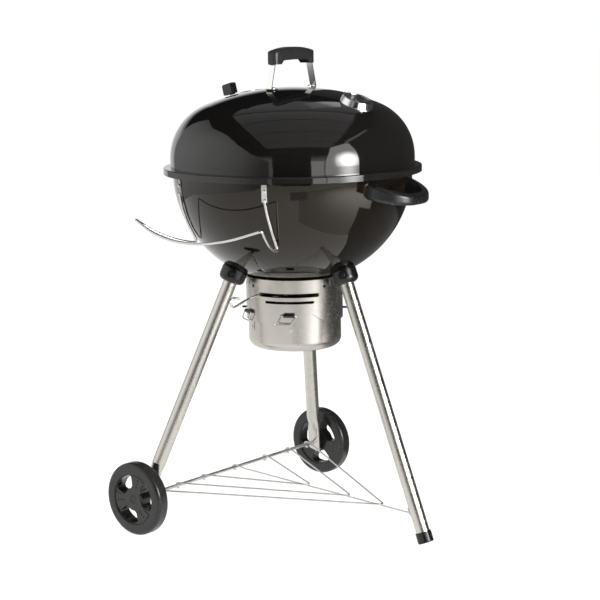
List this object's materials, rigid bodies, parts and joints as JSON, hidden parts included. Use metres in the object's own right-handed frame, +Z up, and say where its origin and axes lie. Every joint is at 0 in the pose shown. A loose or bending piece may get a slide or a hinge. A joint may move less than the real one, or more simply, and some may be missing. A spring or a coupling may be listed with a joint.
{
  "type": "kettle charcoal grill",
  "caption": "Kettle charcoal grill: enamelled bowl and lift-off domed lid on a wheeled tripod, with vent damper, thermometer, ash sweeper, ash can, lid holder and wire rack.",
  "frame": {"origin": "centre of the footprint, on the ground", "axes": "+Z up; +X from the kettle towards the single front leg and the side handle; the wheel axle runs along Y and the lid holder is on the -Y side"},
  "size_m": [0.6847, 0.7084, 1.0965],
  "materials": {
    "enamel": "high gloss black vitreous enamel",
    "socket_steel": "black enamelled steel",
    "black_plastic": "satin glass-filled nylon",
    "zinc": "bright zinc plated",
    "leg_steel": "satin drawn tube",
    "wheel_plastic": "satin moulded plastic",
    "plated_wire": "nickel plated wire",
    "grate_wire": "plain steel",
    "stainless": "brushed stainless sheet",
    "strap_steel": "satin plated strap",
    "damper_sheet": "satin stainless disc",
    "gauge_case": "satin pressed case",
    "dial_face": "satin black dial with pale figures",
    "gauge_glass": "clear flat glass",
    "needle_paint": "pale painted needle"
  },
  "bodies": {
    "frame": {"bowl": "enamel", "leg_sockets": "socket_steel", "leg_caps": "black_plastic", "cap_screws": "zinc", "front_leg": "leg_steel", "left_leg": "leg_steel", "right_leg": "leg_steel", "foot_cap": "black_plastic", "axle": "zinc", "axle_spacers": "black_plastic", "axle_caps": "wheel_plastic", "bottom_rack": "plated_wire", "rack_bolt": "zinc", "side_handle": "black_plastic", "side_handle_screws": "zinc", "lid_holder": "plated_wire", "holder_rivets": "zinc", "grate_shelves": "socket_steel", "ash_skirt": "stainless", "skirt_brackets": "stainless", "skirt_studs": "zinc", "bail_ears": "zinc"},
    "lid": {"lid_dome": "enamel", "lid_handle_strap": "strap_steel", "lid_grip": "black_plastic", "lid_handle_bolts": "zinc", "damper_rivet": "zinc", "gauge_bezel": "gauge_case", "gauge_dial": "dial_face", "gauge_glass": "gauge_glass", "gauge_probe": "zinc", "gauge_nut": "zinc"},
    "damper": {"damper_disc": "damper_sheet", "damper_knob": "black_plastic"},
    "needle": {"gauge_needle": "needle_paint"},
    "sweeper": {"ash_sweeper": "grate_wire"},
    "can": {"ash_can": "stainless", "can_plates": "stainless", "can_rivets": "zinc"},
    "front_bail": {"front_bail": "plated_wire"},
    "side_bail": {"side_bail": "plated_wire"},
    "cooking_grate": {"cooking_grate": "plated_wire"},
    "charcoal_grate": {"charcoal_grate": "grate_wire"},
    "left_wheel": {"left_wheel": "wheel_plastic"},
    "right_wheel": {"right_wheel": "wheel_plastic"}
  },
  "joints": [
    {"name": "lid_lift", "type": "slide", "parent": "frame", "child": "lid", "axis": [0, 0, 1], "range_m": [0, 0.4]},
    {"name": "damper_turn", "type": "hinge", "parent": "lid", "child": "damper", "pos_m": [-0.18596, 0.00456, 0.98788], "axis": [-0.2605, 0, 0.9655], "range_deg": [0, 60]},
    {"name": "needle_turn", "type": "hinge", "parent": "lid", "child": "needle", "pos_m": [0.13894, 0.00456, 0.97257], "axis": [0.3502, 0, 0.9367], "range_deg": [-270, 0]},
    {"name": "sweeper_turn", "type": "hinge", "parent": "frame", "child": "sweeper", "pos_m": [-0.04736, 0.00456, 0.5435], "axis": [0, 0, 1], "range_deg": [0, 71]},
    {"name": "ash_can_drop", "type": "slide", "parent": "frame", "child": "can", "axis": [0, 0, -1], "range_m": [0, 0.12]},
    {"name": "front_bail_swing", "type": "hinge", "parent": "frame", "child": "front_bail", "pos_m": [0.01688, -0.0925, 0.4995], "axis": [-0.8339, -0.5519, 0], "range_deg": [0, 80]},
    {"name": "side_bail_swing", "type": "hinge", "parent": "frame", "child": "side_bail", "pos_m": [-0.0993, -0.09961, 0.4995], "axis": [-0.8949, 0.4462, 0], "range_deg": [0, 80]},
    {"name": "cooking_grate_lift", "type": "slide", "parent": "frame", "child": "cooking_grate", "axis": [0, 0, 1], "range_m": [0, 0.05]},
    {"name": "charcoal_grate_lift", "type": "slide", "parent": "frame", "child": "charcoal_grate", "axis": [0, 0, 1], "range_m": [0, 0.06]},
    {"name": "left_wheel_spin", "type": "hinge", "parent": "frame", "child": "left_wheel", "pos_m": [-0.24466, -0.32804, 0.084], "axis": [0, 1, 0], "continuous": true},
    {"name": "right_wheel_spin", "type": "hinge", "parent": "frame", "child": "right_wheel", "pos_m": [-0.24466, 0.33716, 0.084], "axis": [0, 1, 0], "continuous": true}
  ]
}
